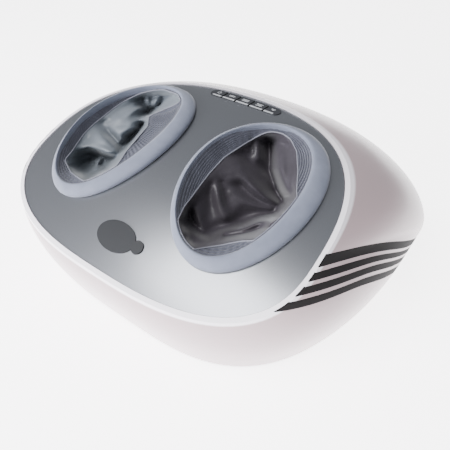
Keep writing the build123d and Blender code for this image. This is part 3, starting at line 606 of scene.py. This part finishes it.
def satin_lining(opening):
    """Lining of one pocket, its folds smooth between the lines, with piping along its edge."""
    turns = [TURN * k / LINING_STEPS - math.pi for k in range(LINING_STEPS)]
    edge = [opening.place(a, opening.edge_at(a), -opening.edge_lift(a)) for a in turns]
    hem = [opening.place(a, opening.edge_at(a) - HEM_WIDTH, HEM_FALL - opening.edge_lift(a)) for a in turns]
    depth_at = depth_field(LINING_DEPTH[opening.name], edge[::2] + hem[::2])
    shares = np.linspace(0, 1, LINING_ROWS)
    middle = np.array(opening.centre)
    where = np.array([middle + (np.array(e[:2]) - middle) * (1 - share) for share in shares for e in edge])
    points = []
    for (u, v), depth, share in zip(where, depth_at(where), np.repeat(shares, LINING_STEPS)):
        crease = 0
        for width, height, seed in (BROAD_CREASE, FINE_CREASE):
            crease += height * hash_noise(u / width, v / width, opening.side + seed)
        points.append(below_edge(u, v, depth + crease * min(share * CREASE_START, 1)))
    material = satin_lit_and_shaded[opening.name]
    lining = soft_piece("lining_" + opening.name, points, LINING_ROWS, LINING_STEPS, material)
    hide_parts("foot_liner_" + opening.name)
    path = []
    for k, (u, v, depth) in enumerate(edge):
        wander = PIPING_WANDER * hash_noise(k * PIPING_WAVES, PIPING_SEED, opening.side)
        path.append(below_edge(u, v, depth - PIPING_PROUD + wander))
    return lining, edge_piping(opening.name, path)


def edge_piping(name, path):
    """Round piping along a closed path of world points, wound so that its faces point outwards."""
    points = []
    for i, point in enumerate(path):
        run = (path[(i + 1) % len(path)] - path[i - 1]).normalized()
        side_way = run.cross(OFF_PATH).normalized()
        up = side_way.cross(run)
        for k in range(PIPING_SIDES):
            turn = TURN * k / PIPING_SIDES
            points.append(point + (up * math.cos(turn) + side_way * math.sin(turn)) * PIPING_RADIUS * MM)
    piping = soft_piece("edge_piping_" + name, points, len(path), PIPING_SIDES, piping_mat, close_rows=True)
    return piping


# Elastic band, in millimetres: how far it goes over the ring and the cloth and under the ring's top, its
# cords that run round it, its fine puckers across it, which drift, and its sag as a share of its width
BAND_ROWS = 49
BAND_STEPS = 2 * RING_STEPS
BAND_TUCK = 0.4
BAND_LAP = 0.2
BAND_UNDER = 0.6
CORD_PITCH = 3.0
CORD_HEIGHT = 0.8
PUCKER_HEIGHT = 0.4
PUCKERS = 80
PUCKER_DRIFTS = 7
PUCKER_DRIFT = 2.5
BAND_SAG = 0.12
# The cords fade out over a sixth of the band at both edges, and where it is narrower than this
BAND_FADES = 6
BAND_FULL_WIDTH = 6


def band_wave(turn, share, width):
    """Height of the band's cords, puckers and sag over its straight slope, in millimetres."""
    ribs = CORD_HEIGHT * math.cos(TURN * share * max(width / CORD_PITCH, 1.0))
    drift = PUCKER_DRIFT * math.sin(turn * PUCKER_DRIFTS)
    pucker = PUCKER_HEIGHT * math.sin(turn * PUCKERS + drift) * 4 * share * (1 - share)
    fade = min(1, BAND_FADES * share, BAND_FADES * (1 - share)) * min(width / BAND_FULL_WIDTH, 1)
    return (ribs + pucker) * fade - BAND_SAG * width * math.sin(math.pi * share)


def elastic_cover(opening):
    """Ribbed elastic from the ring's inner edge down to the lining's edge."""
    lifted = on_panel(0, 0, 1.0) - on_panel(0, 0, 0.0)
    points = []
    for row in range(BAND_ROWS):
        share = row / (BAND_ROWS - 1)
        for step in range(BAND_STEPS):
            turn = TURN * step / BAND_STEPS - math.pi
            outer = opening.ring_at(turn) + BAND_TUCK
            inner = opening.edge_at(turn) + BAND_LAP
            top = below_edge(*opening.place(turn, outer, BAND_UNDER - opening.ring_lift(turn)))
            low = below_edge(*opening.place(turn, inner, -opening.edge_lift(turn)))
            points.append(top + (low - top) * share + lifted * band_wave(turn, share, outer - inner))
    band = soft_piece("elastic_cover_" + opening.name, points, BAND_ROWS, BAND_STEPS, rib_mat)
    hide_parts("elastic_band_" + opening.name, "ring_collar_" + opening.name)
    return band


ring_cover = {name: padded_ring(name, side) for name, side in SIDES}
for name, side in SIDES:
    opening = Opening(name, side)
    lining, piping = satin_lining(opening)
    band = elastic_cover(opening)

# Print on the keys, in millimetres: heights over a key's face, and the strip along each key's near edge
PRINT_LOW = 0.02
PRINT_HIGH = 0.14
STRIP_HIGH = 0.2
STRIP_NEAR = -7.2
STRIP_FAR = -5.0
STRIP_REACH = 8.2
STRIP_ROUND_END = 3.6
BAR_HALF_WIDTH = 0.45
RING_MARK_PARTS = 20


def on_key(index, x, y, lift):
    """World point over a key's face; x and y from the middle of that key."""
    sunk = ARCH_RADIUS * (1 - math.cos(KEYS_ANGLE))
    base_y = -PANEL_SETBACK + KEYS_AT * math.cos(PANEL_TILT) + sunk * math.sin(PANEL_TILT)
    base_z = PANEL_HEIGHT + KEYS_AT * math.sin(PANEL_TILT) - sunk * math.cos(PANEL_TILT)
    u = (index - len(KEY_BODIES) // 2) * KEYS_PITCH + x
    n = KEY_PROUD + lift - y * y / (2 * ARCH_RADIUS) - (CROSS_RADIUS - math.sqrt(CROSS_RADIUS ** 2 - u * u))
    return Vector((u * MM, (base_y + y * math.cos(KEYS_TILT) - n * math.sin(KEYS_TILT)) * MM,
                   (base_z + y * math.sin(KEYS_TILT) + n * math.cos(KEYS_TILT)) * MM))


def key_piece(name, index, outlines, high):
    """One piece of thin flat plates on a key, each raised from its outline."""
    shape = bmesh.new()
    for outline in outlines:
        foot = shape.faces.new([shape.verts.new(on_key(index, x, y, PRINT_LOW)) for x, y in outline])
        raised = bmesh.ops.extrude_face_region(shape, geom=[foot], use_keep_orig=True)
        corners = [part for part in raised["geom"] if isinstance(part, bmesh.types.BMVert)]
        up = on_key(index, 0, 0, high) - on_key(index, 0, 0, PRINT_LOW)
        bmesh.ops.translate(shape, verts=corners, vec=up)
    bmesh.ops.recalc_face_normals(shape, faces=shape.faces)
    mesh = bpy.data.meshes.new(name)
    shape.to_mesh(mesh)
    shape.free()
    return new_piece(name, mesh, silver_mat, KEY_BODIES[index])


def box(left, right, near, far):
    """Corners of a rectangle."""
    return [(left, near), (right, near), (right, far), (left, far)]


def bar(x, y, half_x, half_y=BAR_HALF_WIDTH):
    """Outline of a printed bar about its middle."""
    return box(x - half_x, x + half_x, y - half_y, y + half_y)


def open_ring(x, y, radius, width, gap):
    """Outlines that make a printed ring, open towards the toes by a gap in degrees on each side."""
    def corner(distance, degrees):
        turn = math.radians(degrees)
        return (x + distance * math.cos(turn), y + distance * math.sin(turn))

    outlines = []
    part = (360 - 2 * gap) / RING_MARK_PARTS
    for k in range(RING_MARK_PARTS):
        first = 90 + gap + part * k
        last = first + part
        outlines.append([corner(radius - width, first), corner(radius, first),
                         corner(radius, last), corner(radius - width, last)])
    return outlines


MARKS = [
    open_ring(0.6, 1.4, 2.6, 0.7, 35) + [bar(0.6, 3.4, 0.35, 1.5)],
    [bar(0, 2.6, 3.8), bar(0, 0.6, 3.8)],
    [bar(0, 3.2, 4.2), bar(0, 1.4, 4.2), bar(0, -0.4, 4.2)],
    [bar(0, 3.2, 4.2), bar(0, 1.4, 2.8), bar(0, -0.4, 4.2)],
    [bar(-0.6, 2.4, 2.6), bar(-0.6, 0.6, 1.6)],
]
for index, body in enumerate(KEY_BODIES):
    key_piece("mark_" + body, index, MARKS[index], PRINT_HIGH)
    left = -STRIP_ROUND_END if index == 0 else -STRIP_REACH
    right = STRIP_ROUND_END if index == len(KEY_BODIES) - 1 else STRIP_REACH
    key_piece("strip_" + body, index, [box(left, right, STRIP_NEAR, STRIP_FAR)], STRIP_HIGH)

# Floor that glows softly, in metres. On the machine's right, outside the picture, it glows less, so that the
# right wall stays greyer than the front
FLOOR_SIZE = 12
FLOOR_GLOW = 4.6
FLOOR_GLOW_RIGHT = 0.8
FADE_FROM = 0.34
FADE_TO = 0.6


def glowing_floor():
    """Pale matt floor."""
    bpy.ops.mesh.primitive_plane_add(size=FLOOR_SIZE)
    floor = bpy.context.object
    floor.name = "floor"
    material = surface("floor_pale", "#F6F5F6", 0.8, more={"Emission Color": linear("#FFFDFE")})
    place = add_node(material, "ShaderNodeTexCoord", {})
    axes = add_node(material, "ShaderNodeSeparateXYZ", {"Vector": place.outputs["Object"]})
    inputs = {"Value": axes.outputs["X"], "From Min": FADE_FROM, "From Max": FADE_TO,
              "To Min": FLOOR_GLOW, "To Max": FLOOR_GLOW_RIGHT}
    fall = add_node(material, "ShaderNodeMapRange", inputs)
    into_shader(material, fall.outputs["Result"], "Emission Strength")
    floor.data.materials.append(material)


def studio_world():
    """Even pale surroundings."""
    world = bpy.data.worlds.new("studio")
    bpy.context.scene.world = world
    world.use_nodes = True
    background = world.node_tree.nodes["Background"]
    background.inputs["Color"].default_value = linear("#E9ECF2")
    background.inputs["Strength"].default_value = 0.5


def area_light(name, place, target, width, height, energy, colour="#FFFFFF"):
    """Soft rectangular light aimed at a point; metres and watts."""
    light = bpy.data.lights.new(name, "AREA")
    light.shape = "RECTANGLE"
    light.size = width
    light.size_y = height
    light.energy = energy
    light.color = linear(colour)[:3]
    lamp = bpy.data.objects.new(name, light)
    bpy.context.scene.collection.objects.link(lamp)
    lamp.location = place
    lamp.rotation_euler = (Vector(target) - Vector(place)).to_track_quat("-Z", "Y").to_euler()


def photo_camera():
    """Camera at the photograph's viewing angle."""
    camera_data = bpy.data.cameras.new("camera")
    camera_data.sensor_width = CAMERA_SENSOR
    camera_data.lens = CAMERA_LENS
    camera = bpy.data.objects.new("camera", camera_data)
    bpy.context.scene.collection.objects.link(camera)
    camera.location = CAMERA_AT
    camera.rotation_euler = CAMERA_AIM.to_track_quat("-Z", "Y").to_euler()
    bpy.context.scene.camera = camera


glowing_floor()
studio_world()
# The top light is what the panel mirrors; the front light brightens the front wall
area_light("top_light", (-0.2, -0.95, 1.5), (0, -0.1, 0.1), 1.1, 0.8, 44)
area_light("front_light", (-0.8, -1.9, 0.6), (0, -0.1, 0.08), 1.0, 1.0, 88, "#F6F9FF")
photo_camera()
